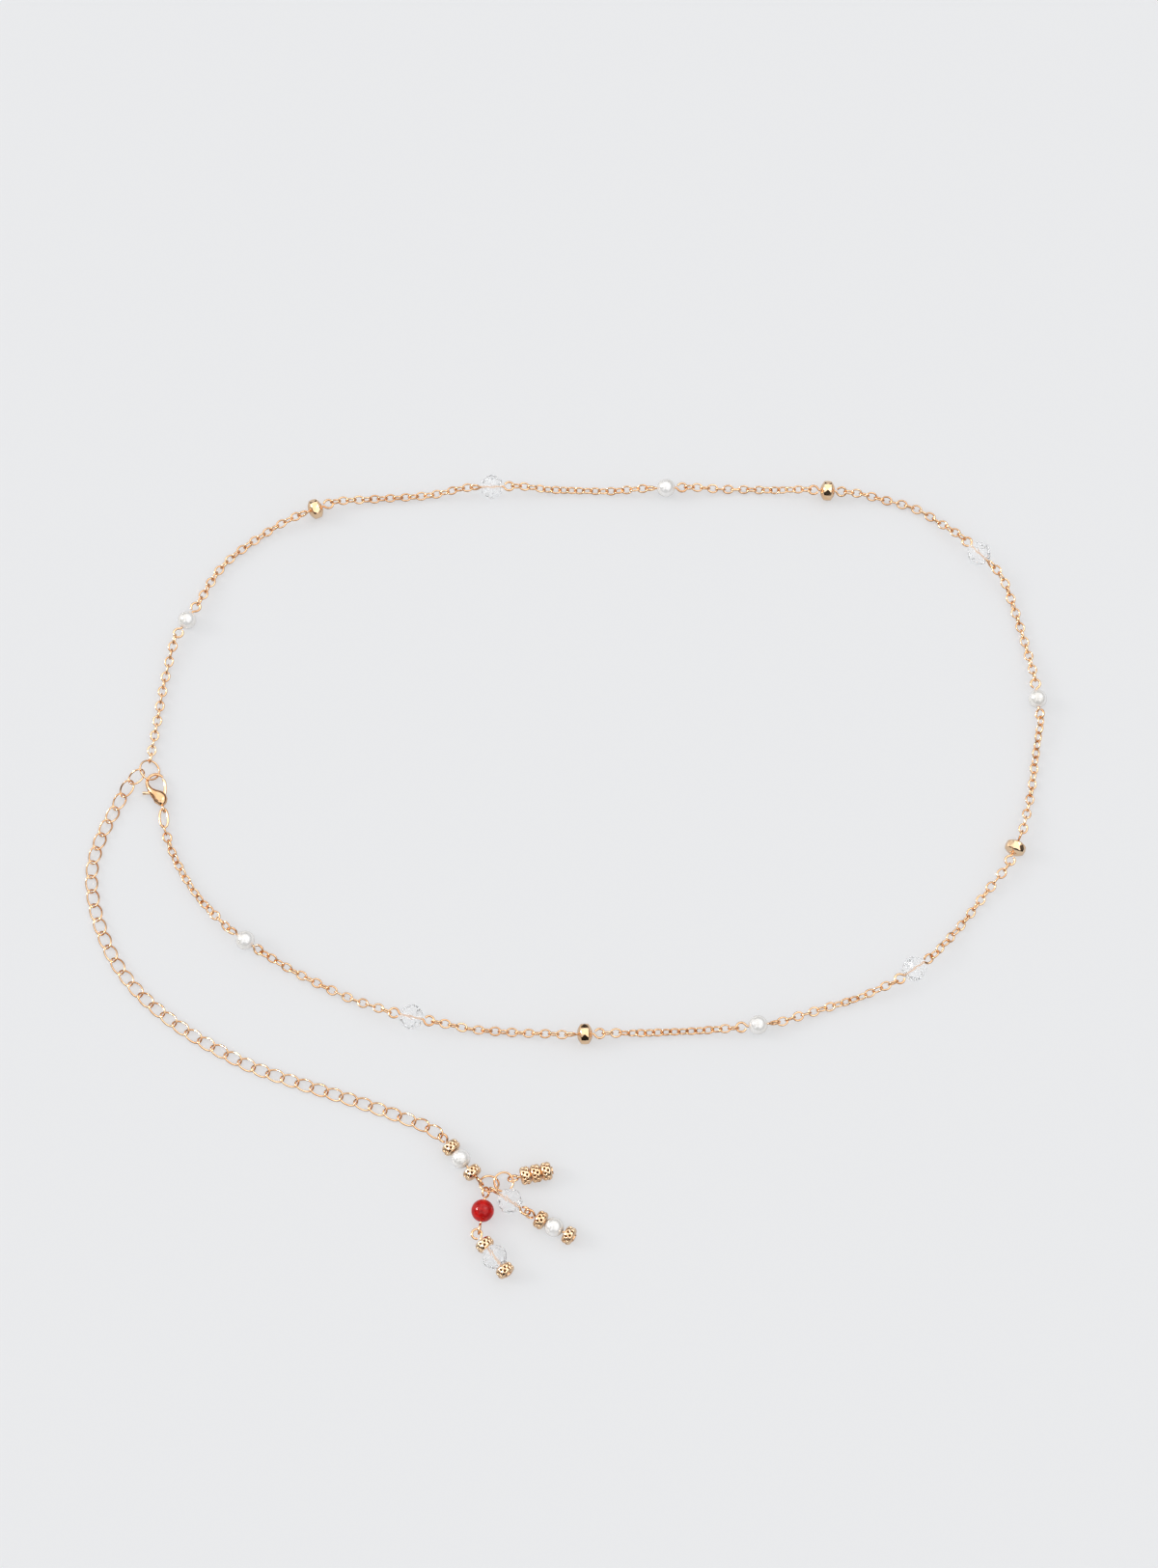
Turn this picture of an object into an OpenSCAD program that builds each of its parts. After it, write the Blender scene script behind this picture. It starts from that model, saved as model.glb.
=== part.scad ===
// Waist chain, lying as one whole loop on a flat surface at z = 0, X to the right and Y to the back.
// Thirteen beads on wire eye pins are joined by runs of fine cable chain. A lobster clasp closes the
// loop on an end ring, which also starts a curb extension chain with a three-drop tassel at its end.
// Sizes are in millimetres, angles in degrees.

/* [Round beads] */
// Diameter of each white pearl
pearl_d = 5; // [4.2:0.1:6]
// Diameter of the red bead in the tassel
red_d = 5.8; // [5:0.1:6.6]
// Radial room round the pin in a bead's drilling
bead_play = 0.15; // [0.1:0.01:0.25]

/* [Gold rondelles] */
// Diameter over the corners of a gold rondelle
gold_d = 6; // [5:0.1:7]
// Width of a gold rondelle along its pin
gold_w = 3.9; // [3:0.1:5]

/* [Crystals] */
// Diameter over the girdle corners of a crystal
crystal_d = 6.8; // [6:0.1:7.6]
// Width of a crystal along its pin, from table to table
crystal_w = 5.6; // [4.6:0.1:6.6]

/* [Tassel spacers] */
// Diameter of a granulated spacer over its lobes
spacer_d = 4.7; // [4.2:0.1:5.2]
// Width of a spacer along its pin
spacer_w = 2.6; // [2:0.1:3.2]
// Diameter of the hole through a spacer
spacer_hole = 1.7; // [1.3:0.1:1.8]

/* [Eye pins and head pins] */
// Diameter of the pin wire
pin_wire = 0.6; // [0.5:0.02:0.7]
// Outer diameter of a turned eye
eye_d = 3.1; // [2.9:0.05:3.4]
// Gap between a bead's end and the neck of its eye
neck = 0.35; // [0.3:0.05:0.6]
// Gap between two beads on one pin
bead_gap = 0.12; // [0.1:0.01:0.2]
// Diameter of the flat head of a head pin
head_d = 2; // [1.9:0.05:2.2]
// Thickness of the flat head of a head pin
head_t = 0.3; // [0.2:0.05:0.4]

/* [Fine chain] */
// Width of the fine cable chain, over its links
fine_w = 2.6; // [2.2:0.1:3]
// Gap left between the chain's tube and the eye or ring that it hangs on
fine_gap = 0.25; // [0.2:0.05:0.4]

/* [Extension chain] */
// Outer length of a curb link
ext_l = 5.3; // [5:0.05:5.6]
// Outer width of a curb link
ext_w = 3.5; // [3.2:0.05:4]
// Wire diameter of a curb link
ext_wire = 0.48; // [0.4:0.02:0.52]
// Twist of a curb link at each of its ends
ext_twist = 38; // [32:1:44]

/* [Rings] */
// Outer diameter of the end ring
end_ring_d = 6; // [5.6:0.1:6.6]
// Wire diameter of the end ring
end_ring_wire = 0.5; // [0.4:0.02:0.56]
// Outer diameter of the two tassel rings
tassel_ring_d = 5.4; // [5.1:0.1:6]
// Wire diameter of the two tassel rings
tassel_ring_wire = 0.55; // [0.45:0.05:0.6]

/* [Clasp] */
// Length of the clasp from the top of its hook to the bottom of its body
clasp_l = 9.6; // [9.2:0.1:10.4]
// Width of the clasp over its body
clasp_w = 4.6; // [4.4:0.1:5]
// Thickness of the clasp body
clasp_t = 2.6; // [2.4:0.1:3]
// Thickness of the lever
lever_t = 0.7; // [0.6:0.05:0.8]
// Gap on each side of the lever in its slot
lever_gap = 0.12; // [0.1:0.01:0.16]
// Diameter of the rivet
rivet_d = 0.9; // [0.7:0.05:1.1]
// Radial running clearance of the lever on its rivet
rivet_play = 0.04; // [0.02:0.01:0.08]
// Outer diameter of the clasp's end eye
clasp_eye_d = 2.4; // [2.3:0.05:2.6]
// Wire diameter of the clasp's end eye
clasp_eye_wire = 0.7; // [0.6:0.05:0.75]
// Outer length of the oval link between the clasp and the chain
oval_l = 5.9; // [5.6:0.1:6.6]
// Outer width of the oval link
oval_w = 2.8; // [2.6:0.1:3.2]
// Wire diameter of the oval link
oval_wire = 0.55; // [0.45:0.05:0.6]

/* [Hidden] */
BEADS = ["pearl_1", "gold_rondelle_1", "crystal_1", "pearl_2", "gold_rondelle_2", "crystal_2", "pearl_3",
    "gold_rondelle_3", "crystal_3", "pearl_4", "gold_rondelle_4", "crystal_4", "pearl_5"];
PINS = [for (i = [0:12]) str("eye_pin_", i + 1)];
CLOSURE = ["fine_chain_upper", "fine_chain_lower", "end_ring", "clasp_body", "clasp_lever", "clasp_rivet",
    "clasp_link", "extension_chain"];
TASSEL = ["tassel_eye_pin", "tassel_spacer_1", "tassel_pearl", "tassel_spacer_2", "tassel_ring_1",
    "tassel_ring_2", "drop_a_head_pin", "drop_a_spacer_1", "drop_a_spacer_2", "drop_a_spacer_3",
    "drop_b_eye_pin", "drop_b_crystal", "drop_b_head_pin", "drop_b_spacer_1", "drop_b_pearl",
    "drop_b_spacer_2", "drop_c_eye_pin", "drop_c_red_bead", "drop_c_head_pin", "drop_c_spacer_1",
    "drop_c_crystal", "drop_c_spacer_2"];

pale_gold = [0.93, 0.80, 0.52];
rose_gold = [0.91, 0.74, 0.55];
pearl_white = [0.95, 0.94, 0.92];
clear_glass = [0.90, 0.92, 0.95];
coral_red = [0.78, 0.12, 0.13];

// Route of the loop, clockwise from the end ring: each row is a bead's centre, the heading of its pin,
// and the points that the fine chain passes on its way to that bead from the one before
waist_route = [
    [[-104, 68.5], 60, [[-111, 39], [-109.5, 51]]],
    [[-70, 101.5], 23, [[-95, 85], [-84, 94.5]]],
    [[-21.5, 108], 2, [[-55.5, 105], [-41.5, 106]]],
    [[26.5, 108], 2, [[-6, 108], [10.5, 107.5]]],
    [[71, 107], -4, [[50, 108]]],
    [[112, 88], -47, [[84, 105.5], [96.5, 101.5]]],
    [[126, 45.5], -85, [[119.5, 77.5], [123, 64.5]]],
    [[118, 3], -114, [[125, 30.5], [123, 18.5]]],
    [[90, -30.5], -145, [[110, -9], [103, -18]]],
    [[49, -45.5], -172, [[75, -38], [64, -41.5]]],
    [[4, -48], -178, [[28, -47]]],
    [[-41, -43.5], -193, [[-10, -47.5], [-24, -46.5]]],
    [[-85, -22.5], -216, [[-59.5, -37], [-71.5, -31]]]
];
// Points that the last run of fine chain passes on its way to the clasp
last_run = [[-98.5, -9.5], [-104.5, 0.5]];
// Route of the extension chain between the end ring and the tassel
extension_route = [[-118, 20.5], [-122, 12.5], [-125, 5], [-126.5, -3], [-125.5, -11.5], [-123, -19.5],
    [-119.5, -27], [-114.5, -34], [-108.5, -40], [-98.5, -47.5], [-84, -55.5], [-72, -60],
    [-56.5, -65], [-45, -69], [-37.5, -72]];
// Where the clasp's rivet lies, and how the clasp, its oval link and the end ring lie round it
clasp_at = [-108.7, 17.5];
clasp_turn = 21;
oval_heading = -84;
// Heading from the end ring's centre to the first curb link
extension_start = 206;
// How far the first curb link leans over to sit on the tilted ring
extension_lean = -24;
// First eye of the tassel and the headings of its pin, rings and drops
tassel_at = [-32.4, -75.5];
tassel_heading = -50;
ring_1_heading = -11;
ring_2_heading = 7.5;
drop_a_heading = 12;
drop_b_heading = -33.5;
drop_c_heading = -99;
drop_b_tip_heading = -29;
drop_c_tip_heading = -52;
// Slack of each hooked pair: how far its two loops are from being pulled tight
ring_1_slack = 0.68;
ring_2_slack = 0.55;
drop_a_slack = 0.59;
drop_b_slack = 0.57;
drop_c_slack = 0.52;
drop_b_tip_slack = 0.67;
drop_c_tip_slack = 0.4;
// Heading from each ring or eye to the eye that hooks it
drop_a_side = 19;
drop_b_side = -57;
drop_c_side = -109;
drop_b_tip_side = -26;
drop_c_tip_side = -116;
// Room between the pearl and the second spacer of the tassel's pin, and on the tip of drop b
tassel_slack = 0.66;
drop_b_room = 0.4;
// How far along a chain it sinks from an eye's height to the surface
sink = 11;
// How each eye of the waist's pins is rolled, in and out: 0 lies flat, 90 stands on edge
eye_rolls = [[0, 0], [90, 0], [90, 0], [45, 0], [0, 45], [0, 90], [0, 45], [90, 0], [45, 0], [90, 0],
    [0, 90], [0, 0], [45, 45]];

// Rows of a cut bead: share of the half width, share of the radius, and turn in steps of one corner
gold_rows = [[-1, 0.62, 0], [-0.5, 0.92, 0.5], [0, 1, 0], [0.5, 0.92, 0.5], [1, 0.62, 0]];
gold_corners = 8;
crystal_rows = [[-1, 0.5, 0], [-0.45, 0.86, 0.5], [0, 1, 0], [0.45, 0.86, 0.5], [1, 0.5, 0]];
crystal_corners = 10;
// Rows of a spacer: share of the half width, radius shares at a lobe's crest and between lobes, and
// which of the two staggered rings of lobes it belongs to
spacer_rows = [[-1, 0.78, 0.74, 0], [-0.8, 0.94, 0.86, 0], [-0.45, 1, 0.89, 0], [0, 0.9, 0.87, 0],
    [0.45, 1, 0.89, 1], [0.8, 0.94, 0.86, 1], [1, 0.78, 0.74, 1]];
spacer_lobes = 10;
spacer_recess_d = 2.4;
spacer_recess = 0.35;

// Sections of the clasp's body and hook, from its foot to its tip, as shares of clasp_w, clasp_l,
// clasp_w and clasp_t: place across, place along, half width and half thickness
clasp_rows = [[-0.12, -0.22, 0.06, 0.12], [-0.11, -0.18, 0.2, 0.3], [-0.09, -0.1, 0.33, 0.45],
    [-0.1, 0, 0.42, 0.5], [-0.18, 0.1, 0.38, 0.5], [-0.33, 0.22, 0.25, 0.46], [-0.44, 0.34, 0.16, 0.38],
    [-0.5, 0.47, 0.1, 0.25], [-0.49, 0.58, 0.08, 0.15], [-0.39, 0.67, 0.075, 0.13],
    [-0.21, 0.73, 0.075, 0.13], [0, 0.745, 0.075, 0.13], [0.2, 0.71, 0.075, 0.13],
    [0.34, 0.65, 0.065, 0.13], [0.4, 0.61, 0.05, 0.11]];
// Outlines of the lever's gate and thumb tab: place across, place along and half width, as shares of
// clasp_w, clasp_l and clasp_w
gate_rows = [[0.05, 0, 0.14], [0.28, 0.15, 0.1], [0.41, 0.3, 0.075], [0.455, 0.42, 0.07],
    [0.43, 0.485, 0.065], [0.385, 0.53, 0.05]];
tab_rows = [[-0.05, 0.02, 0.12], [-0.35, 0.16, 0.09], [-0.6, 0.235, 0.08], [-0.92, 0.25, 0.075]];
pad_rows = [[-0.78, 0.245, 0.08], [-0.93, 0.25, 0.075]];
lever_hub_r = 0.85;
lever_swing = 24;
slot_top = 0.33;
slot_bottom = -0.05;
pad_t = 1.2;

// Derived sizes
pin_r = pin_wire / 2;
bore_r = pin_r + bead_play;
eye_r = (eye_d - pin_wire) / 2;
// An eye's wire bends as a 3-4-5 triangle, so that its pieces meet exactly
steep = acos(0.6);
slight = acos(0.8);
eye_bend = pin_wire * 0.75;
eye_reach = 1.25 * eye_r;
eye_neck = eye_reach + 0.5 * eye_bend;
fine_r = fine_w / 2;
link_a = (ext_l - ext_wire) / 2;
link_b = (ext_w - ext_wire) / 2;
end_ring_r = (end_ring_d - end_ring_wire) / 2;
tassel_ring_r = (tassel_ring_d - tassel_ring_wire) / 2;
clasp_z = clasp_t / 2;
clasp_eye_r = (clasp_eye_d - clasp_eye_wire) / 2;
gold_h = gold_d / 2 * cos(180 / gold_corners);
crystal_h = crystal_d / 2 * cos(180 / crystal_corners);
spacer_h = spacer_d / 2;
bead_width = [pearl_d, gold_w, crystal_w];
bead_height = [pearl_d / 2, gold_h, crystal_h];

function dir(a) = [cos(a), sin(a)];
function lift(p, z) = [p.x, p.y, z];
function unit(v) = v / norm(v);
function turned(p, a) = [p.x * cos(a) - p.y * sin(a), p.x * sin(a) + p.y * cos(a)];
// Distance between the centres of two hooked loops with these wire-centre radii and wires
function hooked(r1, w1, r2, w2, slack) = r1 + r2 - (w1 + w2) / 2 - slack;

// One span of a smooth curve, between b and c
function span(a, b, c, d, t) =
    0.5 * (2 * b + (c - a) * t + (2 * a - 5 * b + 4 * c - d) * t * t + (3 * b - a - 3 * c + d) * t * t * t);
// A smooth curve through all the points, in steps to each span
function smooth(pts, steps) = let (
    n = len(pts),
    p = concat([2 * pts[0] - pts[1]], pts, [2 * pts[n - 1] - pts[n - 2]])
) concat([for (i = [0:n - 2], k = [0:steps - 1]) span(p[i], p[i + 1], p[i + 2], p[i + 3], k / steps)],
    [pts[n - 1]]);
// How far along the curve each of its points lies
function distances(c) =
    [for (i = 0, s = 0; i < len(c); s = s + (i + 1 < len(c) ? norm(c[i + 1] - c[i]) : 0), i = i + 1) s];
// The point at distance s along a curve whose distances are d
function along(c, d, s) = let (
    i = max([for (k = [0:len(c) - 2]) if (k == 0 || d[k] <= s) k])
) c[i] + (c[i + 1] - c[i]) * (s - d[i]) / (d[i + 1] - d[i]);
// How much of an end's extra height is left at distance s from it
function sinking(s) = s < sink ? pow(cos(90 * s / sink), 2) : 0;

// A skin over rings of points, closed into a loop or capped at both ends
module skin(rings, loop = false) {
    n = len(rings[0]);
    m = len(rings);
    sides = [for (i = [0:loop ? m - 1 : m - 2], k = [0:n - 1])
        let (j = (i + 1) % m, l = (k + 1) % n)
        each [[i * n + k, i * n + l, j * n + k], [i * n + l, j * n + l, j * n + k]]];
    caps = loop ? [] : [[for (k = [n - 1:-1:0]) k], [for (k = [0:n - 1]) (m - 1) * n + k]];
    polyhedron([for (r = rings) each r], concat(sides, caps));
}

// A ring of n points round p, in the plane across the direction t
function ring_of(p, t, up, across_r, up_r, n) = let (
    side = unit(cross(t, up)),
    top = cross(side, t)
) [for (k = [0:n - 1]) p + side * across_r * cos(360 * k / n) + top * up_r * sin(360 * k / n)];

// The outline of a strip whose rows are [x, y, half width]
function strip(rows) = let (
    m = len(rows) - 1,
    p = [for (r = rows) [r[0], r[1]]],
    side = [for (i = [0:m]) turned(unit(p[min(i + 1, m)] - p[max(i - 1, 0)]), 90)]
) concat([for (i = [0:m]) p[i] + side[i] * rows[i][2]], [for (i = [m:-1:0]) p[i] - side[i] * rows[i][2]]);
function clasp_sized(rows) = [for (r = rows) [r[0] * clasp_w, r[1] * clasp_l, r[2] * clasp_w]];

// Pieces made of wire
module rod(length, wire) {
    rotate([0, 90, 0]) cylinder(h = length, d = wire, $fn = 24);
}

module arc_wire(radius, wire, from, turn) {
    rotate([0, 0, from]) rotate_extrude(angle = turn, $fn = 72) translate([radius, 0]) circle(d = wire, $fn = 24);
}

// An eye turned on the end of a pin. Its centre is at the origin and the pin arrives along +X.
module eye(roll) {
    rotate([roll, 0, 0]) {
        arc_wire(eye_r, pin_wire, slight - 180, 296);
        translate([0.3 * eye_bend - eye_reach, -0.4 * eye_bend, 0]) rotate([0, 0, -steep])
            rod(0.75 * eye_r - 0.5 * eye_bend, pin_wire);
        translate([-eye_neck, -eye_bend, 0]) arc_wire(eye_bend, pin_wire, slight, steep);
    }
}

// A pin with an eye at each end, centred on the middle of a bead stack of this width
module eye_pin(stack, roll_in, roll_out) {
    reach = stack / 2 + neck + eye_reach;
    straight = reach - eye_neck;
    translate([-straight, 0, 0]) rod(2 * straight, pin_wire);
    translate([reach, 0, 0]) eye(roll_out);
    rotate([0, 0, 180]) translate([reach, 0, 0]) eye(roll_in);
}

// A pin with an eye at the origin and a flat head beyond its last bead
module head_pin(stack, roll) {
    length = eye_reach + neck + stack + bead_gap;
    rotate([0, 0, 180]) eye(roll);
    translate([eye_neck, 0, 0]) rod(length - eye_neck + head_t / 2, pin_wire);
    translate([length, 0, 0]) rod(head_t, head_d);
}

// Beads, each drilled along X
module drilled(width, hole_r) {
    difference() {
        children();
        translate([-width, 0, 0]) rotate([0, 90, 0]) cylinder(h = 2 * width, r = hole_r, $fn = 32);
    }
}

module round_bead(d) {
    rotate([0, 90, 0]) difference() {
        sphere(d = d, $fn = 64);
        cylinder(h = 2 * d, r = bore_r, center = true, $fn = 32);
    }
}

// A bead cut in flat facets, with a table round each end of its drilling
module cut_bead(d, w, rows, corners) {
    drilled(w, bore_r) skin([for (r = rows)
        [for (k = [0:corners - 1]) let (a = 360 * (k + r[2] + 0.5) / corners)
            [r[0] * w / 2, -r[1] * d / 2 * sin(a), -r[1] * d / 2 * cos(a)]]]);
}

module gold_rondelle() {
    cut_bead(gold_d, gold_w, gold_rows, gold_corners);
}

module crystal() {
    cut_bead(crystal_d, crystal_w, crystal_rows, crystal_corners);
}

// A granulated spacer: two staggered rings of lobes, with a recess in each end
module spacer() {
    difference() {
        drilled(spacer_w, spacer_hole / 2) skin([for (r = spacer_rows)
            [for (k = [0:2 * spacer_lobes - 1])
                let (a = 180 * k / spacer_lobes, share = (k + r[3]) % 2 == 0 ? r[1] : r[2])
                [r[0] * spacer_w / 2, -share * spacer_h * sin(a), -share * spacer_h * cos(a)]]]);
        for (side = [-1, 1]) translate([side * spacer_w / 2, 0, 0]) rotate([0, 90, 0])
            cylinder(h = 2 * spacer_recess, d = spacer_recess_d, center = true, $fn = 32);
    }
}

module bead_of_kind(kind) {
    if (kind == 0) color(pearl_white) round_bead(pearl_d);
    if (kind == 1) color(pale_gold) gold_rondelle();
    if (kind == 2) color(clear_glass) crystal();
}

module lay(p, z, heading) {
    translate([p.x, p.y, z]) rotate([0, 0, heading]) children();
}

// The thirteen beads of the waist and their pins
module waist_bead(i) {
    lay(waist_route[i][0], bead_height[i % 3], waist_route[i][1]) bead_of_kind(i % 3);
}

module waist_pin(i) {
    color(rose_gold) lay(waist_route[i][0], bead_height[i % 3], waist_route[i][1])
        eye_pin(bead_width[i % 3], eye_rolls[i][0], eye_rolls[i][1]);
}

// Where the chain leaves or reaches bead i: side is 1 after it and -1 before it
function chain_end(i, side) = lift(waist_route[i][0]
    + side * (bead_width[i % 3] / 2 + neck + eye_reach + eye_d / 2 + fine_gap) * dir(waist_route[i][1]),
    bead_height[i % 3]);

// The clasp's own frame is at its rivet, with its hook along +Y and its gate on the +X side
function in_clasp(p) = clasp_at + turned(p, clasp_turn);

// End ring: it hangs in the hook, tilted so that it passes over the hook's arm and under its tip
end_ring_seat = in_clasp([-0.12 * clasp_w, 0.61 * clasp_l + end_ring_r]);
end_ring_rise = 0.4;
end_ring_lean = [6, 29.5];
end_ring_at = lift(end_ring_seat, clasp_z + end_ring_rise);
// The point at radius r from the ring's centre, in its own plane and with this heading seen from above
function on_end_ring(heading, r) = let (
    h = heading - clasp_turn,
    fall = tan(end_ring_lean.y) * cos(h) - tan(end_ring_lean.x) / cos(end_ring_lean.y) * sin(h)
) end_ring_at + r * unit([cos(heading), sin(heading), -fall]);

module end_ring() {
    color(rose_gold) lay(end_ring_at, end_ring_at.z, clasp_turn) rotate([0, end_ring_lean.y, 0])
        rotate([end_ring_lean.x, 0, 0]) arc_wire(end_ring_r, end_ring_wire, 0, 360);
}

// Oval link in the clasp's end eye, and the far end of it, where the fine chain arrives
clasp_eye_at = in_clasp([-0.14 * clasp_w, -0.22 * clasp_l - clasp_eye_r]);
oval_half = (oval_l - oval_wire) / 2;
oval_at = clasp_eye_at + oval_half * dir(oval_heading);

module clasp_link() {
    r = (oval_w - oval_wire) / 2;
    straight = oval_half - r;
    color(rose_gold) lay(oval_at, clasp_z, oval_heading) {
        for (side = [-1, 1]) translate([-straight, side * r, 0]) rod(2 * straight, oval_wire);
        translate([straight, 0, 0]) arc_wire(r, oval_wire, -90, 180);
        translate([-straight, 0, 0]) arc_wire(r, oval_wire, 90, 180);
    }
}

// Fine chain: a tube along each run, to which the links are added as looks
run_start = on_end_ring(90, end_ring_d / 2 + fine_gap + 0.1);
run_stop = lift(oval_at + (oval_l / 2 + fine_gap) * dir(oval_heading), clasp_z);

function run_curve(i) = let (
    from = i == 0 ? run_start : chain_end(i - 1, 1),
    to = i == 13 ? run_stop : chain_end(i, -1),
    via = i == 13 ? last_run : waist_route[i][2],
    flat = smooth(concat([[from.x, from.y]], via, [[to.x, to.y]]), 12),
    d = distances(flat),
    total = d[len(d) - 1],
    steps = round(total / (3 * fine_w))
) [for (k = [0:steps]) let (s = total * k / steps)
    lift(along(flat, d, s), fine_r + (from.z - fine_r) * sinking(s) + (to.z - fine_r) * sinking(total - s))];

module tube(path) {
    m = len(path) - 1;
    skin([for (i = [0:m]) let (t = unit(path[min(i + 1, m)] - path[max(i - 1, 0)]))
        ring_of(path[i], t, [0, 0, 1], fine_r, fine_r, 8)]);
}

module fine_chain(first, last) {
    color(rose_gold) for (i = [first:last]) tube(run_curve(i));
}

// Lobster clasp
module clasp_slot() {
    h = lever_t + 2 * lever_gap;
    reach = 1.5 * clasp_w;
    linear_extrude(h, center = true) {
        polygon([[-reach, slot_bottom * clasp_l], [reach, slot_bottom * clasp_l], [reach, slot_top * clasp_l],
            [-reach, slot_top * clasp_l]]);
        circle(r = lever_hub_r + lever_gap, $fn = 48);
    }
}

module clasp_body() {
    m = len(clasp_rows) - 1;
    p = [for (r = clasp_rows) [r[0] * clasp_w, r[1] * clasp_l, 0]];
    eye_y = -0.22 * clasp_l - clasp_eye_r;
    color(rose_gold) lay(clasp_at, clasp_z, clasp_turn) difference() {
        union() {
            skin([for (i = [0:m])
                ring_of(p[i], unit(p[min(i + 1, m)] - p[max(i - 1, 0)]), [0, 0, 1],
                    clasp_rows[i][2] * clasp_w, clasp_rows[i][3] * clasp_t, 12)]);
            translate([-0.14 * clasp_w, eye_y, 0]) rotate([0, 90, 0])
                arc_wire(clasp_eye_r, clasp_eye_wire, 0, 360);
        }
        clasp_slot();
        cylinder(h = 2 * clasp_t, d = rivet_d + 0.02, center = true, $fn = 32);
    }
}

module clasp_lever() {
    color(pale_gold) lay(clasp_at, clasp_z, clasp_turn) difference() {
        union() {
            linear_extrude(lever_t, center = true) {
                circle(r = lever_hub_r, $fn = 48);
                polygon(strip(clasp_sized(gate_rows)));
                polygon(strip(clasp_sized(tab_rows)));
            }
            linear_extrude(pad_t, center = true) polygon(strip(clasp_sized(pad_rows)));
        }
        cylinder(h = 2 * clasp_t, r = rivet_d / 2 + rivet_play, center = true, $fn = 32);
    }
}

module clasp_rivet() {
    color(rose_gold) lay(clasp_at, clasp_z, clasp_turn)
        cylinder(h = clasp_t - 0.1, d = rivet_d, center = true, $fn = 32);
}

// Extension chain: curb links twisted so that each lies flat and hooks the next
first_hook = end_ring_r - (end_ring_wire + ext_wire) / 2 + 0.06;
extension_from = on_end_ring(extension_start, first_hook);
extension_to = tassel_at - (eye_r - 0.39) * dir(tassel_heading);
extension_curve = smooth(concat([[extension_from.x, extension_from.y]], extension_route, [extension_to]), 8);
extension_steps = distances(extension_curve);
extension_length = extension_steps[len(extension_steps) - 1];
link_count = ceil(extension_length / (ext_l - 2 * ext_wire - 0.22));
link_pitch = extension_length / link_count;
lying_z = 0.77;

function extension_point(s) = lift(along(extension_curve, extension_steps, s),
    lying_z + (extension_from.z + 0.3 - lying_z) * sinking(s)
    + (pearl_d / 2 - lying_z) * sinking(extension_length - s));

function link_rings(ex, ey, ez, centre, lean) = let (
    n = 14,
    shape = 0.85,
    local = [for (k = [0:n - 1]) let (
        c = cos(360 * (k + 0.5) / n), s = sin(360 * (k + 0.5) / n),
        x = link_a * sign(c) * pow(abs(c), shape), y = link_b * sign(s) * pow(abs(s), shape),
        twist = lean + ext_twist * x / link_a
    ) [x, y * cos(twist), y * sin(twist), twist]],
    place = [for (q = local) centre + q[0] * ex + q[1] * ey + q[2] * ez]
) [for (k = [0:n - 1]) let (twist = local[k][3])
    ring_of(place[k], unit(place[(k + 1) % n] - place[(k + n - 1) % n]), cos(twist) * ez - sin(twist) * ey,
        ext_wire / 2, ext_wire / 2, 6)];

module curb_link(i) {
    from = extension_point(i * link_pitch);
    to = extension_point((i + 1) * link_pitch);
    ex = unit(to - from);
    ey = unit(cross([0, 0, 1], ex));
    lean = extension_lean * sinking((i + 0.5) * link_pitch);
    skin(link_rings(ex, ey, cross(ex, ey), (from + to) / 2, lean), loop = true);
}

module extension_chain() {
    color(rose_gold) for (i = [0:link_count - 1]) curb_link(i);
}

// Tassel: each place follows from the eye or ring that it hangs on
tassel_stack = 2 * spacer_w + pearl_d + 2 * bead_gap + tassel_slack;
tassel_mid = tassel_at + (tassel_stack / 2 + neck + eye_reach) * dir(tassel_heading);
tassel_end = tassel_at + 2 * (tassel_stack / 2 + neck + eye_reach) * dir(tassel_heading);
ring_1_at = tassel_end
    + hooked(eye_r, pin_wire, tassel_ring_r, tassel_ring_wire, ring_1_slack) * dir(ring_1_heading);
ring_2_at = ring_1_at
    + hooked(tassel_ring_r, tassel_ring_wire, tassel_ring_r, tassel_ring_wire, ring_2_slack) * dir(ring_2_heading);
ring_1_z = 2.03;
ring_2_z = 1.88;
ring_1_lean = [-23, 8];
ring_2_lean = [12, 0];

// Pins stand at the height of the largest bead that they carry. Looser beads hang on them.
pearl_pin_z = pearl_d / 2;
crystal_pin_z = crystal_h;
red_pin_z = red_d / 2;
spacer_pin_z = spacer_h - 0.1;
function hung(h, pin_z) = max(h, pin_z - spacer_hole / 2 + pin_r + 0.12);

drop_a_eye = ring_2_at
    + hooked(tassel_ring_r, tassel_ring_wire, eye_r, pin_wire, drop_a_slack) * dir(drop_a_side);
drop_b_eye = ring_1_at
    + hooked(tassel_ring_r, tassel_ring_wire, eye_r, pin_wire, drop_b_slack) * dir(drop_b_side);
drop_c_eye = ring_1_at
    + hooked(tassel_ring_r, tassel_ring_wire, eye_r, pin_wire, drop_c_slack) * dir(drop_c_side);
drop_b_mid = drop_b_eye + (crystal_w / 2 + neck + eye_reach) * dir(drop_b_heading);
drop_c_mid = drop_c_eye + (red_d / 2 + neck + eye_reach) * dir(drop_c_heading);
drop_b_tip = drop_b_mid + (crystal_w / 2 + neck + eye_reach) * dir(drop_b_heading)
    + hooked(eye_r, pin_wire, eye_r, pin_wire, drop_b_tip_slack) * dir(drop_b_tip_side);
drop_c_tip = drop_c_mid + (red_d / 2 + neck + eye_reach) * dir(drop_c_heading)
    + hooked(eye_r, pin_wire, eye_r, pin_wire, drop_c_tip_slack) * dir(drop_c_tip_side);
first_bead = neck + eye_reach + spacer_w / 2;

module tassel_eye_pin() {
    color(rose_gold) lay(tassel_mid, pearl_pin_z, tassel_heading) eye_pin(tassel_stack, slight, 90);
}

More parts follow.
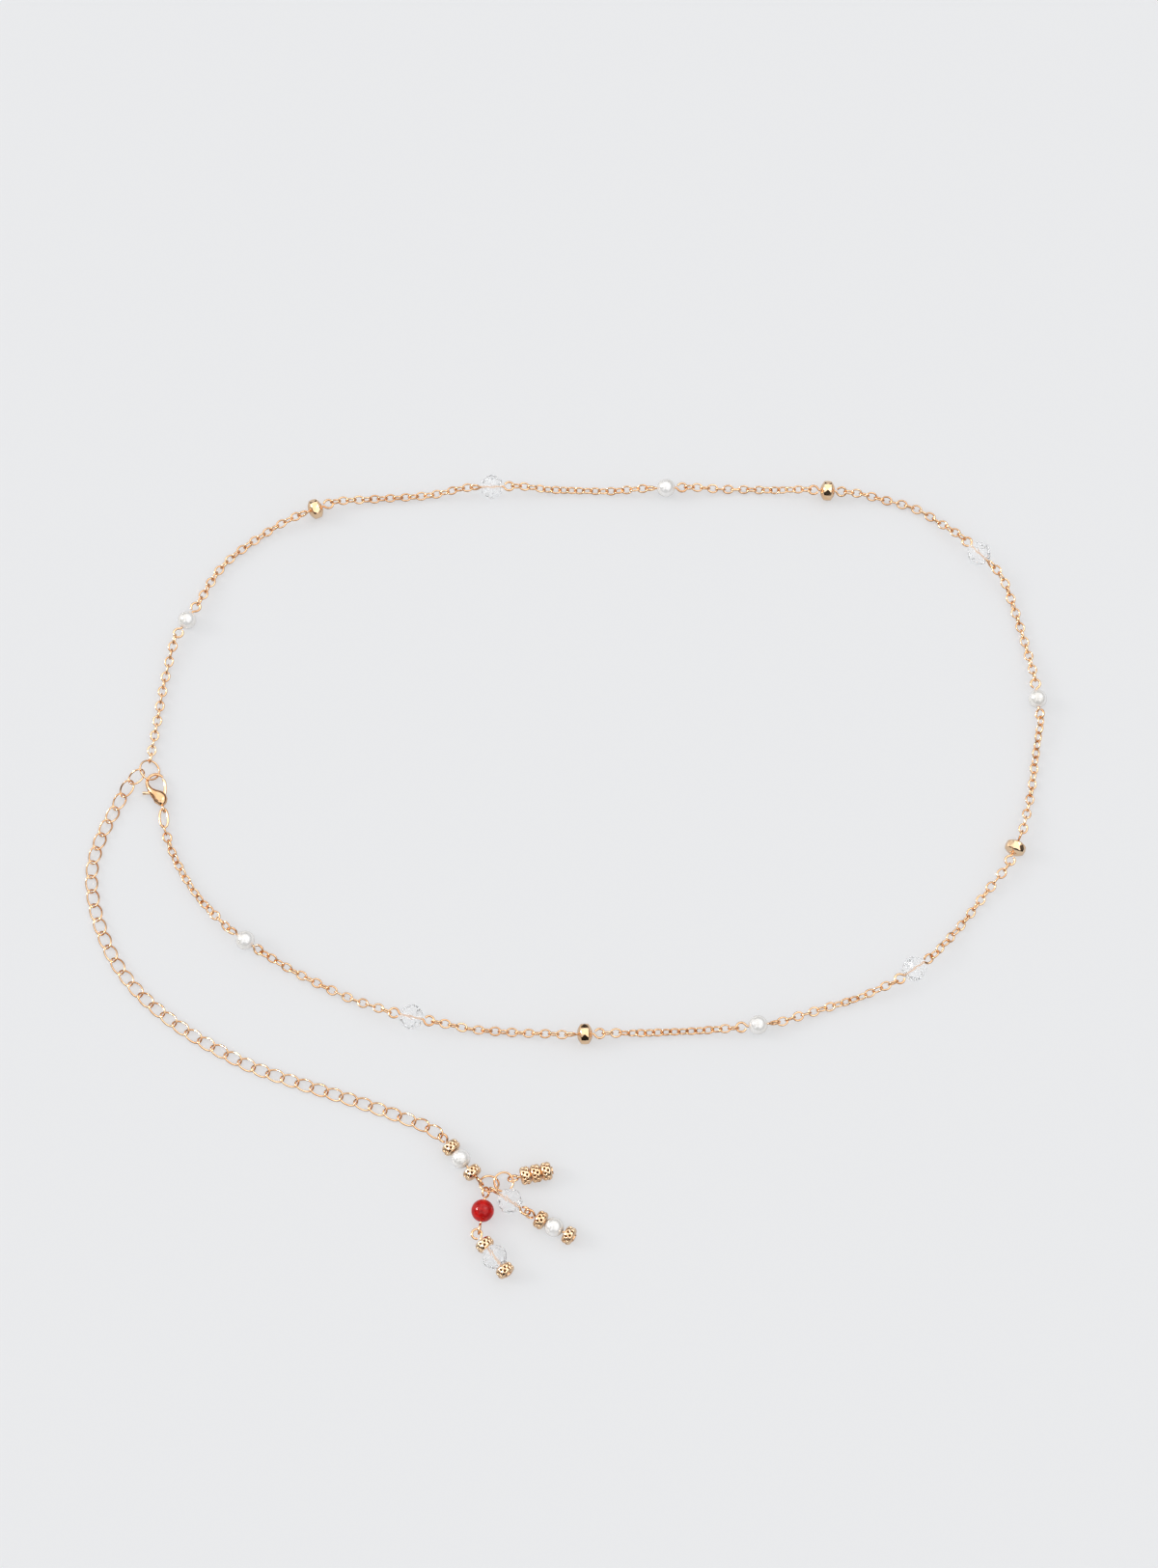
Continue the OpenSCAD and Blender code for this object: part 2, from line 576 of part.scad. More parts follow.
module tassel_spacer_1() {
    color(pale_gold) lay(tassel_at + first_bead * dir(tassel_heading), hung(spacer_h, pearl_pin_z), tassel_heading)
        spacer();
}

module tassel_pearl() {
    color(pearl_white)
        lay(tassel_at + (first_bead + bead_gap + (spacer_w + pearl_d) / 2) * dir(tassel_heading), pearl_pin_z,
            tassel_heading) round_bead(pearl_d);
}

module tassel_spacer_2() {
    color(pale_gold) lay(tassel_end - first_bead * dir(tassel_heading), hung(spacer_h, pearl_pin_z), tassel_heading)
        spacer();
}

module tassel_ring_1() {
    color(rose_gold) lay(ring_1_at, ring_1_z, 5) rotate([0, ring_1_lean.y, 0]) rotate([ring_1_lean.x, 0, 0])
        arc_wire(tassel_ring_r, tassel_ring_wire, 0, 360);
}

module tassel_ring_2() {
    color(rose_gold) lay(ring_2_at, ring_2_z, ring_2_heading) rotate([0, ring_2_lean.y, 0]) rotate([ring_2_lean.x, 0, 0])
        arc_wire(tassel_ring_r, tassel_ring_wire, 0, 360);
}

module drop_a_head_pin() {
    color(rose_gold) lay(drop_a_eye, spacer_pin_z, drop_a_heading) head_pin(3 * spacer_w + 2 * bead_gap, 45);
}

module drop_a_spacer(k) {
    color(pale_gold) lay(drop_a_eye + (first_bead + k * (spacer_w + bead_gap)) * dir(drop_a_heading), spacer_h,
        drop_a_heading) spacer();
}

module drop_b_eye_pin() {
    color(rose_gold) lay(drop_b_mid, crystal_pin_z, drop_b_heading) eye_pin(crystal_w, 90, -slight);
}

module drop_b_crystal() {
    color(clear_glass) lay(drop_b_mid, crystal_h, drop_b_heading) crystal();
}

module drop_b_head_pin() {
    color(rose_gold) lay(drop_b_tip, pearl_pin_z, drop_b_tip_heading)
        head_pin(2 * spacer_w + pearl_d + 2 * bead_gap + drop_b_room, -steep);
}

module drop_b_spacer_1() {
    color(pale_gold) lay(drop_b_tip + first_bead * dir(drop_b_tip_heading), hung(spacer_h, pearl_pin_z),
        drop_b_tip_heading) spacer();
}

module drop_b_pearl() {
    color(pearl_white)
        lay(drop_b_tip + (first_bead + bead_gap + (spacer_w + pearl_d) / 2) * dir(drop_b_tip_heading),
            pearl_pin_z, drop_b_tip_heading) round_bead(pearl_d);
}

module drop_b_spacer_2() {
    color(pale_gold)
        lay(drop_b_tip + (first_bead + spacer_w + pearl_d + 2 * bead_gap + drop_b_room) * dir(drop_b_tip_heading),
            hung(spacer_h, pearl_pin_z), drop_b_tip_heading) spacer();
}

module drop_c_eye_pin() {
    color(rose_gold) lay(drop_c_mid, red_pin_z, drop_c_heading) eye_pin(red_d, steep, 90);
}

module drop_c_red_bead() {
    color(coral_red) lay(drop_c_mid, red_pin_z, drop_c_heading) round_bead(red_d);
}

module drop_c_head_pin() {
    color(rose_gold) lay(drop_c_tip, crystal_pin_z, drop_c_tip_heading)
        head_pin(2 * spacer_w + crystal_w + 2 * bead_gap, 0);
}

module drop_c_spacer_1() {
    color(pale_gold) lay(drop_c_tip + first_bead * dir(drop_c_tip_heading), hung(spacer_h, crystal_pin_z),
        drop_c_tip_heading) spacer();
}

module drop_c_crystal() {
    color(clear_glass)
        lay(drop_c_tip + (first_bead + bead_gap + (spacer_w + crystal_w) / 2) * dir(drop_c_tip_heading),
            crystal_h, drop_c_tip_heading) crystal();
}

module drop_c_spacer_2() {
    color(pale_gold)
        lay(drop_c_tip + (first_bead + spacer_w + crystal_w + 2 * bead_gap) * dir(drop_c_tip_heading),
            hung(spacer_h, crystal_pin_z), drop_c_tip_heading) spacer();
}

for (i = [0:12]) {
    waist_bead(i);
    waist_pin(i);
}
fine_chain(0, 6);  // fine_chain_upper
fine_chain(7, 13);  // fine_chain_lower
end_ring();
clasp_body();
clasp_lever();
clasp_rivet();
clasp_link();
extension_chain();
tassel_eye_pin();
tassel_spacer_1();
tassel_pearl();
tassel_spacer_2();
tassel_ring_1();
tassel_ring_2();
drop_a_head_pin();
drop_a_spacer(0);  // drop_a_spacer_1
drop_a_spacer(1);  // drop_a_spacer_2
drop_a_spacer(2);  // drop_a_spacer_3
drop_b_eye_pin();
drop_b_crystal();
drop_b_head_pin();
drop_b_spacer_1();
drop_b_pearl();
drop_b_spacer_2();
drop_c_eye_pin();
drop_c_red_bead();
drop_c_head_pin();
drop_c_spacer_1();
drop_c_crystal();
drop_c_spacer_2();
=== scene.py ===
import math

import bmesh
import bpy
import numpy as np
from mathutils import Matrix, Vector


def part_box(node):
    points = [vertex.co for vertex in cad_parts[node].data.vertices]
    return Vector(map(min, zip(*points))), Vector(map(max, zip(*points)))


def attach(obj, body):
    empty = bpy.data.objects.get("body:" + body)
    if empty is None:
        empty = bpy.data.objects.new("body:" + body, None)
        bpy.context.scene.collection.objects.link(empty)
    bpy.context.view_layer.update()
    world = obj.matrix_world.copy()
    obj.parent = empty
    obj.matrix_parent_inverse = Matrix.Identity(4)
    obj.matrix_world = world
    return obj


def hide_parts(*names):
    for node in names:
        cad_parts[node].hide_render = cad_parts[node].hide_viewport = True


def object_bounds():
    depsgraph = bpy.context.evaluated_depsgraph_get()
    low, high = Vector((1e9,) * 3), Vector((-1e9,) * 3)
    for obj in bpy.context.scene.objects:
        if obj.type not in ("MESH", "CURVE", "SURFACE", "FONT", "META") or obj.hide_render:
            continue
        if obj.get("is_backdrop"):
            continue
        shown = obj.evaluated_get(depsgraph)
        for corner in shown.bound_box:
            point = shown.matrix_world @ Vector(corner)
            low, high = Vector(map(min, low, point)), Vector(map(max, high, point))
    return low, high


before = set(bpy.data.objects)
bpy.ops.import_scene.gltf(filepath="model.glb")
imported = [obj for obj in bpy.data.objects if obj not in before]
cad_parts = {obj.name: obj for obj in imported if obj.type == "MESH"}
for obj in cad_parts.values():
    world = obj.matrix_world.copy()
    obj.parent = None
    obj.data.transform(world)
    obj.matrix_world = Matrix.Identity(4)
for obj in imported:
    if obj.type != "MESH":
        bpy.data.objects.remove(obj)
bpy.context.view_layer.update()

# ---- Camera
# The chain is seen from the front and 70 degrees above the surface, from 870 mm away, and aimed at the
# middle of the loop. The lens shows the photograph's whole frame.
mm = 0.001
view_height = math.radians(70)
view_distance = 870 * mm
view_target = Vector((2.5, 22, 0)) * mm

camera_data = bpy.data.cameras.new("photo_camera")
camera_data.lens = 74.66
camera_data.clip_start = 0.05
camera = bpy.data.objects.new("photo_camera", camera_data)
camera.location = view_target + view_distance * Vector((0, -math.cos(view_height), math.sin(view_height)))
camera.rotation_euler = (math.pi / 2 - view_height, 0, 0)
bpy.context.scene.collection.objects.link(camera)
bpy.context.scene.camera = camera

# ---- Table and studio light
# The chain lies on smooth, very light grey card under even light. A soft box stands low at the left and
# another high at the right. Polished metal and pearls mirror a room that is dark near the horizon and
# bright overhead.
card_grey = (0.417, 0.42, 0.427, 1)
card_half = 12
card_glow, card_glow_in_metal = 0.42, 0.55 * 0.42

card = bpy.data.meshes.new("card")
card.from_pydata([(x * card_half, y * card_half, 0) for x, y in ((-1, -1), (1, -1), (1, 1), (-1, 1))], [],
                 [(0, 1, 2, 3)])
card_object = bpy.data.objects.new("card", card)
bpy.context.scene.collection.objects.link(card_object)
card_object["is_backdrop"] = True

card_finish = bpy.data.materials.new("light_grey_card")
card_finish.use_nodes = True
card_shader = card_finish.node_tree.nodes["Principled BSDF"]
card_shader.inputs["Base Color"].default_value = card_grey
card_shader.inputs["Roughness"].default_value = 0.9
card_shader.inputs["Specular IOR Level"].default_value = 0.0
card_shader.inputs["Emission Color"].default_value = (0.985, 0.995, 1.01, 1)
card.materials.append(card_finish)


def put(tree, kind, settings=None, **inputs):
    """A node of this kind with its settings, whose inputs are numbers, colours or other nodes' outputs."""
    node = tree.nodes.new(kind)
    for label, value in (settings or {}).items():
        setattr(node, label, value)
    for label, value in inputs.items():
        socket = node.inputs[int(label[1:]) if label[0] == "i" and label[1:].isdigit() else label]
        if isinstance(value, bpy.types.NodeSocket):
            tree.links.new(value, socket)
        else:
            socket.default_value = value
    return node


card_rays = put(card_finish.node_tree, "ShaderNodeLightPath")
card_light = put(card_finish.node_tree, "ShaderNodeMapRange", i0=card_rays.outputs["Is Glossy Ray"],
                 i3=card_glow, i4=card_glow_in_metal)
card_seen = put(card_finish.node_tree, "ShaderNodeMix", i0=card_rays.outputs["Is Transmission Ray"],
                i2=card_light.outputs[0], i3=card_glow)
card_finish.node_tree.links.new(card_seen.outputs[0], card_shader.inputs["Emission Strength"])

bpy.context.scene.view_settings.view_transform = "Standard"
room = bpy.data.worlds.new("studio_room")
room.use_nodes = True
bpy.context.scene.world = room
room_tree = room.node_tree
room_direction = put(room_tree, "ShaderNodeTexCoord").outputs["Generated"]
room_height = put(room_tree, "ShaderNodeSeparateXYZ", i0=room_direction).outputs["Z"]
room_rays = put(room_tree, "ShaderNodeLightPath")


def room_with(walls, *patches):
    """The room's brightness by direction. The walls go from one height to another with a brightness at each.
    A round patch has its direction, the degrees where it is full and where it ends, and its brightness."""
    ramp = put(room_tree, "ShaderNodeMapRange", i0=room_height, i1=walls[0], i2=walls[1], i3=walls[2],
               i4=walls[3])
    colour = ramp.outputs[0]
    for towards, inner, outer, grey in patches:
        facing = put(room_tree, "ShaderNodeVectorMath", {"operation": "DOT_PRODUCT"}, i0=room_direction,
                     i1=Vector(towards).normalized())
        patch = put(room_tree, "ShaderNodeMapRange", {"interpolation_type": "SMOOTHSTEP"},
                    i0=facing.outputs["Value"], i1=math.cos(math.radians(outer)),
                    i2=math.cos(math.radians(inner)))
        colour = put(room_tree, "ShaderNodeMix", i0=patch.outputs[0], i2=colour, i3=grey).outputs[0]
    return colour


left_box, right_box = (-0.84, 0.16, 0.50), (0.50, 0.23, 0.84)
overhead, left_front, left_back = (-0.10, -0.30, 0.95), (-0.72, -0.30, 0.62), (-0.88, 0.44, 0.11)
front, back = (-0.10, -0.87, 0.46), (0.00, 0.97, 0.22)
lit_card = room_with((0, 1, 0.835, 0.835), (left_box, 8, 18, 3.6), (left_box, 3, 5, 12.0),
                     (right_box, 8, 18, 1.6))
in_metal = room_with((0.28, 0.64, 0.015, 1.45), (overhead, 4, 14, 0.70), (left_front, 8, 22, 0.30),
                     (left_back, 14, 28, 1.3), (front, 15, 30, 0.015), (left_box, 8, 15, 3.4),
                     (left_box, 5, 8, 40.0), (right_box, 8, 18, 3.6))
through_glass = room_with((0, 1, 0.84, 0.84), (back, 8, 24, 0.76))
lit_or_metal = put(room_tree, "ShaderNodeMix", i0=room_rays.outputs["Is Glossy Ray"], i2=lit_card, i3=in_metal)
lit_or_glass = put(room_tree, "ShaderNodeMix", i0=room_rays.outputs["Is Transmission Ray"],
                   i2=lit_or_metal.outputs[0], i3=through_glass)
room_tree.links.new(lit_or_glass.outputs[0], room_tree.nodes["Background"].inputs["Color"])

# ---- Eye pins, head pins and rings
# Drawn brass wire, bent round jaws and cut, then plated in one bath to a warm pale gold. Handling leaves
# faint rubbed patches and hairlines in the plating.


def named_group(name, numbers, results):
    """A shader node group with these input numbers and outputs, ready to be filled."""
    group = bpy.data.node_groups.new(name, "ShaderNodeTree")
    for label, value in numbers.items():
        socket = group.interface.new_socket(label, in_out="INPUT", socket_type="NodeSocketFloat")
        socket.default_value = value
    for label in results:
        group.interface.new_socket(label, in_out="OUTPUT", socket_type="NodeSocketFloat")
    return group, group.nodes.new("NodeGroupInput"), group.nodes.new("NodeGroupOutput")


wear, wear_in, wear_out = named_group("plating_wear", {"Patch": 260, "Line": 2600}, ["Rub", "Hairline"])
wear_place = put(wear, "ShaderNodeTexCoord").outputs["Object"]
wear_patch = put(wear, "ShaderNodeTexNoise", Vector=wear_place, Scale=wear_in.outputs["Patch"], Detail=3)
wear_rub = put(wear, "ShaderNodeMapRange", Value=wear_patch.outputs["Fac"])
wear_rub.inputs["From Min"].default_value = 0.38
wear_rub.inputs["From Max"].default_value = 0.64
wear_stretch = put(wear, "ShaderNodeMapping", Vector=wear_place)
wear_stretch.inputs["Scale"].default_value = (1, 1, 0.2)
wear_line = put(wear, "ShaderNodeTexNoise", Vector=wear_stretch.outputs[0], Scale=wear_in.outputs["Line"],
                Detail=2)
wear.links.new(wear_rub.outputs["Result"], wear_out.inputs["Rub"])
wear.links.new(wear_line.outputs["Fac"], wear_out.inputs["Hairline"])


def plated(name, fresh, rubbed, gloss, rubbed_gloss, patch):
    """Polished plating that turns from its fresh colour and roughness to its rubbed ones in patches."""
    finish = bpy.data.materials.new(name)
    finish.use_nodes = True
    tree = finish.node_tree
    shader = tree.nodes["Principled BSDF"]
    shader.inputs["Metallic"].default_value = 1
    marks = put(tree, "ShaderNodeGroup", {"node_tree": wear}, Patch=patch)
    tint = put(tree, "ShaderNodeMix", {"data_type": "RGBA"}, i0=marks.outputs["Rub"], i6=fresh, i7=rubbed)
    haze = put(tree, "ShaderNodeMix", i0=marks.outputs["Rub"], i2=gloss, i3=rubbed_gloss)
    dent = put(tree, "ShaderNodeBump", Height=marks.outputs["Hairline"], Strength=0.25, Distance=0.01 * mm)
    tree.links.new(tint.outputs[2], shader.inputs["Base Color"])
    tree.links.new(haze.outputs[0], shader.inputs["Roughness"])
    tree.links.new(dent.outputs[0], shader.inputs["Normal"])
    return finish


warm_gold = plated("warm_gold_plate", (0.95, 0.63, 0.38, 1), (0.80, 0.45, 0.23, 1), 0.07, 0.14, 260)


def dress(finish, *nodes):
    """Gives CAD nodes this finish."""
    for node in nodes:
        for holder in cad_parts[node].material_slots:
            holder.material = finish


wire_pieces = [f"eye_pin_{k}" for k in range(1, 14)] + [
    "end_ring", "tassel_eye_pin", "tassel_ring_1", "tassel_ring_2",
    "drop_a_head_pin", "drop_b_eye_pin", "drop_b_head_pin", "drop_c_eye_pin", "drop_c_head_pin"]
dress(warm_gold, *wire_pieces)

# ---- Pearls
# Round glass beads dipped in pearl essence: white to ivory, with a soft skin under a clear gloss. Each is
# drilled through and threaded on its pin.
pearl_coat = bpy.data.materials.new("pearl_essence")
pearl_coat.use_nodes = True
pearl_tree = pearl_coat.node_tree
pearl_shader = pearl_tree.nodes["Principled BSDF"]
pearl_place = put(pearl_tree, "ShaderNodeTexCoord").outputs["Object"]
pearl_cloud = put(pearl_tree, "ShaderNodeTexNoise", Vector=pearl_place, Scale=320, Detail=2)
pearl_tint = put(pearl_tree, "ShaderNodeValToRGB", Fac=pearl_cloud.outputs["Fac"])
pearl_tint.color_ramp.elements[0].position = 0.36
pearl_tint.color_ramp.elements[0].color = (0.86, 0.835, 0.79, 1)
pearl_tint.color_ramp.elements[1].position = 0.62
pearl_tint.color_ramp.elements[1].color = (0.95, 0.94, 0.93, 1)
pearl_grain = put(pearl_tree, "ShaderNodeTexNoise", Vector=pearl_place, Scale=3500, Detail=3)
pearl_skin = put(pearl_tree, "ShaderNodeBump", Height=pearl_grain.outputs["Fac"], Strength=0.15,
                 Distance=0.02 * mm)
pearl_tree.links.new(pearl_tint.outputs["Color"], pearl_shader.inputs["Base Color"])
pearl_tree.links.new(pearl_skin.outputs[0], pearl_shader.inputs["Normal"])
pearl_shader.inputs["Roughness"].default_value = 0.2
pearl_shader.inputs["Metallic"].default_value = 0.2
pearl_shader.inputs["Coat Weight"].default_value = 1.0
pearl_shader.inputs["Coat Roughness"].default_value = 0.06
pearl_shader.inputs["Coat IOR"].default_value = 1.6
dress(pearl_coat, "pearl_1", "pearl_2", "pearl_3", "pearl_4", "pearl_5", "tassel_pearl", "drop_b_pearl")

# ---- Gold rondelles
# Brass beads turned to a lens shape, with one row of flat diamond facets cut round the edge. They are
# plated a yellower gold than the wire, left bright and threaded on their pins.
yellow_gold = plated("yellow_gold_plate", (1.00, 0.745, 0.50, 1), (0.97, 0.63, 0.37, 1), 0.06, 0.12, 420)
rondelle_cuts, rondelle_edge = 10, 2.77
rondelle_side = [(0.95, rondelle_edge * math.cos(math.pi / rondelle_cuts)), (1.25, 2.26), (1.5, 1.88),
                 (1.72, 1.5), (1.86, 1.18), (1.93, 0.88), (1.9, 0.5)]


def face_outwards(made):
    """Turns a closed mesh's faces to point outwards."""
    turned = bmesh.new()
    turned.from_mesh(made)
    bmesh.ops.recalc_face_normals(turned, faces=turned.faces)
    turned.to_mesh(made)
    turned.free()


def rondelle_mesh():
    """The rondelle's mesh with its hole along X and its middle at the origin. Each side is a turned profile of
    rings, and the facets' corners lie on the edge between them."""
    around = 2 * rondelle_cuts
    turn = 2 * math.pi / around
    rows = len(rondelle_side)
    points = [(side * x * mm, r * math.cos(k * turn) * mm, r * math.sin(k * turn) * mm)
              for side in (-1, 1) for x, r in rondelle_side for k in range(around)]
    edge = len(points)
    points += [(0, rondelle_edge * math.cos(2 * k * turn) * mm, rondelle_edge * math.sin(2 * k * turn) * mm)
               for k in range(rondelle_cuts)]
    faces, smooth = [], []
    for k in range(around):
        l = (k + 1) % around
        for first in (0, rows):
            for j in range(first, first + rows - 1):
                faces.append((j * around + k, j * around + l, (j + 1) * around + l, (j + 1) * around + k))
                smooth.append(True)
        faces.append(((rows - 1) * around + k, (rows - 1) * around + l, (2 * rows - 1) * around + l,
                      (2 * rows - 1) * around + k))
        smooth.append(True)
    for k in range(rondelle_cuts):
        at, after, before = 2 * k, (2 * k + 1) % around, (2 * k - 1) % around
        corner, next_corner = edge + k, edge + (k + 1) % rondelle_cuts
        faces.append((after, next_corner, rows * around + after, corner))
        for base in (0, rows * around):
            faces += [(corner, base + before, base + at), (corner, base + at, base + after)]
        smooth += [False] * 5
    made = bpy.data.meshes.new("cut_rondelle")
    made.from_pydata(points, [], faces)
    made.polygons.foreach_set("use_smooth", smooth)
    face_outwards(made)
    made.materials.append(yellow_gold)
    return made


def set_piece(name, mesh, slot, body, *nodes):
    """Puts a finished mesh into the scene in place of CAD nodes, on their body."""
    made = bpy.data.objects.new(name, mesh)
    bpy.context.scene.collection.objects.link(made)
    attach(made, body)
    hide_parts(*nodes)
    return made


rondelle_shape = rondelle_mesh()
for rondelle, heading in [("gold_rondelle_1", 23), ("gold_rondelle_2", -4), ("gold_rondelle_3", -114),
                          ("gold_rondelle_4", -178)]:
    low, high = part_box(rondelle)
    placed = rondelle_shape.copy()
    placed.transform(Matrix.Translation((low + high) / 2) @ Matrix.Rotation(math.radians(heading), 4, "Z"))
    set_piece(rondelle + "_cut", placed, "yellow_gold", "chain", rondelle)

# ---- Crystals
# Clear cut glass with a table round each end of the drilling, threaded on its pin. The wire shows through
# the facets, and light goes through to the card.
clear_glass = bpy.data.materials.new("clear_cut_glass")
clear_glass.use_nodes = True
glass_tree = clear_glass.node_tree
glass_shader = glass_tree.nodes["Principled BSDF"]
glass_place = put(glass_tree, "ShaderNodeTexCoord").outputs["Object"]
glass_cloud = put(glass_tree, "ShaderNodeTexNoise", Vector=glass_place, Scale=240, Detail=1)
glass_tint = put(glass_tree, "ShaderNodeMix", {"data_type": "RGBA"}, i0=glass_cloud.outputs["Fac"],
                 i6=(0.97, 0.98, 0.99, 1), i7=(1, 1, 1, 1))
glass_tree.links.new(glass_tint.outputs[2], glass_shader.inputs["Base Color"])
glass_shader.inputs["Roughness"].default_value = 0.0
glass_shader.inputs["Transmission Weight"].default_value = 0.84
glass_shader.inputs["IOR"].default_value = 1.25
glass_shader.inputs["Specular IOR Level"].default_value = 0.25
glass_path = put(glass_tree, "ShaderNodeLightPath")
glass_clear = put(glass_tree, "ShaderNodeBsdfTransparent", Color=(0.93, 0.94, 0.95, 1))
glass_mix = put(glass_tree, "ShaderNodeMixShader", i0=glass_path.outputs["Is Shadow Ray"],
                i1=glass_shader.outputs[0], i2=glass_clear.outputs[0])
glass_tree.links.new(glass_mix.outputs[0], glass_tree.nodes["Material Output"].inputs["Surface"])
dress(clear_glass, "crystal_1", "crystal_2", "crystal_3", "crystal_4", "drop_b_crystal", "drop_c_crystal")

# ---- Red bead
# One round bead of dyed coral-red stone in the tassel, mottled, with fine darker veins and a wax polish.
# It is drilled through and threaded on its pin.
red_stone = bpy.data.materials.new("coral_red_stone")
red_stone.use_nodes = True
red_tree = red_stone.node_tree
red_shader = red_tree.nodes["Principled BSDF"]
red_place = put(red_tree, "ShaderNodeTexCoord").outputs["Object"]
red_cloud = put(red_tree, "ShaderNodeTexNoise", Vector=red_place, Scale=700, Detail=5, Roughness=0.6)
red_tint = put(red_tree, "ShaderNodeValToRGB", Fac=red_cloud.outputs["Fac"])
red_tint.color_ramp.elements[0].position = 0.28
red_tint.color_ramp.elements[0].color = (0.26, 0.002, 0.003, 1)
red_tint.color_ramp.elements[1].position = 0.7
red_tint.color_ramp.elements[1].color = (0.74, 0.014, 0.008, 1)
red_middle = red_tint.color_ramp.elements.new(0.5)
red_middle.color = (0.50, 0.004, 0.004, 1)
red_pits = put(red_tree, "ShaderNodeBump", Height=red_cloud.outputs["Fac"], Strength=0.2,
               Distance=0.05 * mm)
red_tree.links.new(red_tint.outputs["Color"], red_shader.inputs["Base Color"])
red_tree.links.new(red_pits.outputs[0], red_shader.inputs["Normal"])
red_shader.inputs["Roughness"].default_value = 0.3
red_shader.inputs["Specular IOR Level"].default_value = 0.12
red_shader.inputs["Coat Weight"].default_value = 0.4
red_shader.inputs["Coat Roughness"].default_value = 0.03
dress(red_stone, "drop_c_red_bead")

# ---- Tassel spacers
# Cast brass rings with smooth rolled rims and two staggered rows of round pits, threaded on the tassel's
# pins. They are plated the rondelles' yellow gold, with dark painted shade in the pits' depths and the bore.
spacer_pits, pit_row, pit_reach, pit_depth, shade_depth_share = 10, 0.42, 0.46, 0.60, 0.35
pitted_from, bore_to, steps_to_pit = 2.0, 1.2, 12
spacer_tilt = 9
spacer_profile = [
    (0, 0.85), (0.7, 0.85), (0.98, 0.87), (1.0, 1.15), (1.06, 1.26), (1.2, 1.36), (1.29, 1.5), (1.3, 1.66),
    (1.26, 1.84), (1.16, 2.0), (1.02, 2.13), (0.88, 2.21), (0.76, 2.27), (0.66, 2.31), (0.56, 2.34),
    (0.46, 2.35), (0.36, 2.34), (0.26, 2.31), (0.16, 2.28), (0.06, 2.26)]

# Painted shade: a near-black brown plating for the deep parts of the pits and for the bore.
pit_painted_shade = plated("yellow_gold_painted_pit_shade", (0.16, 0.045, 0.01, 1), (0.07, 0.02, 0.005, 1), 0.3, 0.5, 900)


def spacer_mesh():
    """The spacer's mesh with its hole along X and its middle at the origin: the profile turned round X, with
    the pits pressed into it."""
    right = spacer_profile[1:]
    line = [(-x, r) for x, r in reversed(right)] + [spacer_profile[0]] + right
    around = steps_to_pit * spacer_pits
    turn = 2 * math.pi / around
    pits = [(side * pit_row, steps_to_pit * turn * (k + 0.25 * (1 + side)))
            for side in (-1, 1) for k in range(spacer_pits)]
    points, painted_shade_points = [], []
    for k in range(around):
        for x, r in line:
            away = min(math.hypot(x - px, r * math.remainder(k * turn - pa, 2 * math.pi)) for px, pa in pits)
            hollow = pit_depth * max(0, 1 - (away / pit_reach) ** 2) ** 2 if r > pitted_from else 0
            floor = r - hollow
            points.append((x * mm, floor * math.cos(k * turn) * mm, floor * math.sin(k * turn) * mm))
            # Points deep in a pit or inside the bore are marked to carry painted shade.
            painted_shade_points.append(hollow > shade_depth_share * pit_depth or r < bore_to)
    faces, finishes = [], []
    for k in range(around):
        here, there = k * len(line), (k + 1) % around * len(line)
        for j in range(len(line)):
            l = (j + 1) % len(line)
            face = (here + j, here + l, there + l, there + j)
            faces.append(face)
            # A face with three or more such points takes the painted-shade finish, material 1.
            finishes.append(1 if sum(painted_shade_points[c] for c in face) >= 3 else 0)
    made = bpy.data.meshes.new("pitted_spacer")
    made.from_pydata(points, [], faces)
    made.polygons.foreach_set("use_smooth", [True] * len(faces))
    made.materials.append(yellow_gold)
    made.materials.append(pit_painted_shade)
    made.polygons.foreach_set("material_index", finishes)
    return made


spacer_shape = spacer_mesh()
for spacer, heading in [
    ("tassel_spacer_1", -50), ("tassel_spacer_2", -50), ("drop_a_spacer_1", 12), ("drop_a_spacer_2", 12),
    ("drop_a_spacer_3", 12), ("drop_b_spacer_1", -29), ("drop_b_spacer_2", -29), ("drop_c_spacer_1", -52),
    ("drop_c_spacer_2", -52),
]:
    low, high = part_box(spacer)
    placed = spacer_shape.copy()
    placed.transform(Matrix.Translation((low + high) / 2) @ Matrix.Rotation(math.radians(heading), 4, "Z")
                     @ Matrix.Rotation(math.radians(spacer_tilt), 4, "X"))
    set_piece(spacer + "_openwork", placed, "yellow_gold", "chain", spacer)

# ---- Fine cable chain
# Near-round links of thin brass wire, plated with the pins. Each is closed through the last one and turned
# a quarter round from it, in fourteen runs between the beads. The first and last link of a run pass
# through an eye, a ring or the oval link.
fine_length, fine_width, fine_wire = 3.2, 2.6, 0.5
fine_pitch, fine_lead, fine_wobble = 2.18, 0.25, 5

# The CAD model's route: each bead's centre, its pin's heading and the points passed on the way to it.
waist = [
    ((-104, 68.5), 60, [(-111, 39), (-109.5, 51)]), ((-70, 101.5), 23, [(-95, 85), (-84, 94.5)]),
    ((-21.5, 108), 2, [(-55.5, 105), (-41.5, 106)]), ((26.5, 108), 2, [(-6, 108), (10.5, 107.5)]),
    ((71, 107), -4, [(50, 108)]), ((112, 88), -47, [(84, 105.5), (96.5, 101.5)]),
    ((126, 45.5), -85, [(119.5, 77.5), (123, 64.5)]), ((118, 3), -114, [(125, 30.5), (123, 18.5)]),
    ((90, -30.5), -145, [(110, -9), (103, -18)]), ((49, -45.5), -172, [(75, -38), (64, -41.5)]),
    ((4, -48), -178, [(28, -47)]), ((-41, -43.5), -193, [(-10, -47.5), (-24, -46.5)]),
    ((-85, -22.5), -216, [(-59.5, -37), (-71.5, -31)])]
last_run = [(-98.5, -9.5), (-104.5, 0.5)]
eye_rolls = [(0, 0), (90, 0), (90, 0), (45, 0), (0, 45), (0, 90), (0, 45), (90, 0), (45, 0), (90, 0), (0, 90),
             (0, 0), (45, 45)]

